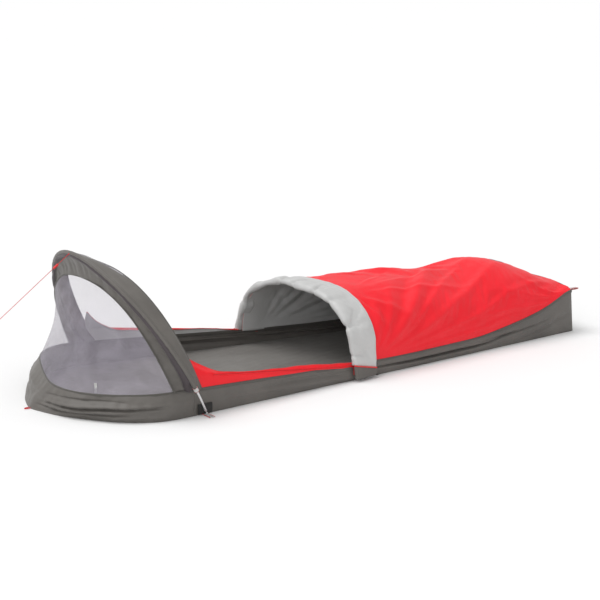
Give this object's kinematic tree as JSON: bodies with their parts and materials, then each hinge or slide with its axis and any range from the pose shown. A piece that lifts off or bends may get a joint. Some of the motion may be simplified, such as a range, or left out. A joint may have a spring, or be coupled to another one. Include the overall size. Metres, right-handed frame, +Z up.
{
  "type": "bivy sack",
  "caption": "Hooped one-person bivy sack with waterproof tub floor, mesh face window and turned-back zipped entry flap.",
  "frame": {"origin": "on the ground, in the middle of the sack's length and width, the guyline not counted", "axes": "+X from the head to the foot, +Z up"},
  "size_m": [2.8753, 0.884, 0.5231],
  "materials": {
    "tub_cloth": "matt coated ripstop nylon, warm grey",
    "floor_cloth": "matt coated nylon, darker grey",
    "binding": "woven binding tape, greenish grey",
    "cover_cloth": "thin calendered nylon, bright red",
    "coated_cloth": "light grey coated inner face",
    "zip_tape": "woven zip tape, red",
    "red_trim": "red piping and zip coil",
    "mesh": "fine insect mesh",
    "webbing": "light grey webbing with red edges",
    "eyelet_metal": "plated eyelet",
    "pole_metal": "anodised tube",
    "shock_cord": "elastic cord",
    "red_cord": "braided cord, red",
    "black_trim": "black",
    "badge": "plain woven oval badge"
  },
  "bodies": {
    "bag": {"floor_panel": "floor_cloth", "side_wall_near": "tub_cloth", "side_wall_far": "tub_cloth", "nose_wall": "tub_cloth", "rim_binding_near": "binding", "rim_binding_far": "binding", "rim_binding_nose": "binding", "foot_end_panel": "tub_cloth", "cover": "cover_cloth", "cover_badge": "badge", "side_strip_near": "cover_cloth", "side_strip_far": "cover_cloth", "zip_tape_near": "zip_tape", "zip_tape_far": "zip_tape", "zip_coil_near": "red_trim", "zip_coil_far": "red_trim", "tip_tab_near": "webbing", "tip_tab_far": "webbing", "tip_eyelet_near": "eyelet_metal", "tip_eyelet_far": "eyelet_metal", "peg_eyelet_near": "eyelet_metal", "peg_eyelet_far": "eyelet_metal", "base_patch_near": "black_trim", "base_patch_far": "black_trim", "pad_loop": "webbing"},
    "hoop": {"pole_lower_near": "pole_metal", "pole_lower_far": "pole_metal", "pole_upper_near": "pole_metal", "pole_upper_far": "pole_metal", "ferrule_side_near": "pole_metal", "ferrule_side_far": "pole_metal", "ferrule_crest": "pole_metal", "shock_cord": "shock_cord", "pole_tip_near": "pole_metal", "pole_tip_far": "pole_metal", "pole_sleeve": "tub_cloth", "sleeve_loop_near": "webbing", "sleeve_loop_far": "webbing", "hood_front_band": "tub_cloth", "hood_rear_panel": "tub_cloth", "mesh_window": "mesh", "guy_knot": "red_cord", "guyline": "red_cord", "guy_peg_loop": "red_cord"},
    "flap": {"entry_flap": "coated_cloth", "flap_tail_near": "tub_cloth", "flap_tail_far": "tub_cloth", "flap_piping_near": "red_trim", "flap_piping_far": "red_trim", "zip_stop_near": "black_trim", "zip_stop_far": "black_trim"},
    "slider_near": {"zip_slider_near": "black_trim"},
    "slider_far": {"zip_slider_far": "black_trim"},
    "pull_near": {"zip_pull_near": "red_cord"},
    "pull_far": {"zip_pull_far": "red_cord"},
    "tensioner": {"line_tensioner": "black_trim"},
    "nose_loop": {"nose_loop": "red_cord"},
    "foot_loop_near": {"foot_loop_near": "webbing"},
    "foot_loop_far": {"foot_loop_far": "webbing"}
  },
  "joints": [
    {"name": "hoop_fold", "type": "hinge", "parent": "bag", "child": "hoop", "pos_m": [-0.694, 0, 0.0065], "axis": [0, -1, 0], "range_deg": [0, 50], "deforming": ["mesh_window", "hood_front_band", "hood_rear_panel", "guyline", "guy_peg_loop"]},
    {"name": "flap_turn", "type": "hinge", "parent": "bag", "child": "flap", "pos_m": [-0.044, 0, 0.07], "axis": [0, -1, 0], "range_deg": [0, 45]},
    {"name": "zip_slide_near", "type": "slide", "parent": "bag", "child": "slider_near", "axis": [-0.9878, -0.0909, 0.1262], "range_m": [0, 0.6]},
    {"name": "zip_slide_far", "type": "slide", "parent": "bag", "child": "slider_far", "axis": [-0.9878, 0.0909, 0.1262], "range_m": [0, 0.6]},
    {"name": "zip_pull_swing_near", "type": "hinge", "parent": "slider_near", "child": "pull_near", "pos_m": [-0.03704, -0.3381, 0.05215], "axis": [-0.9958, -0.0916, 0], "range_deg": [0, 150]},
    {"name": "zip_pull_swing_far", "type": "hinge", "parent": "slider_far", "child": "pull_far", "pos_m": [-0.03704, 0.3381, 0.05215], "axis": [0.9958, -0.0916, 0], "range_deg": [0, 150]},
    {"name": "tensioner_slide", "type": "slide", "parent": "hoop", "child": "tensioner", "axis": [-0.8023, 0, -0.5969], "range_m": [0, 0.6]},
    {"name": "nose_loop_swing", "type": "hinge", "parent": "bag", "child": "nose_loop", "pos_m": [-1.153, 0, 0.0016], "axis": [0, 1, 0], "range_deg": [0, 50]},
    {"name": "foot_loop_swing_near", "type": "hinge", "parent": "bag", "child": "foot_loop_near", "pos_m": [1.144, -0.21, 0.173], "axis": [0, 1, 0], "range_deg": [0, 36]},
    {"name": "foot_loop_swing_far", "type": "hinge", "parent": "bag", "child": "foot_loop_far", "pos_m": [1.144, 0.21, 0.173], "axis": [0, 1, 0], "range_deg": [0, 36]}
  ]
}
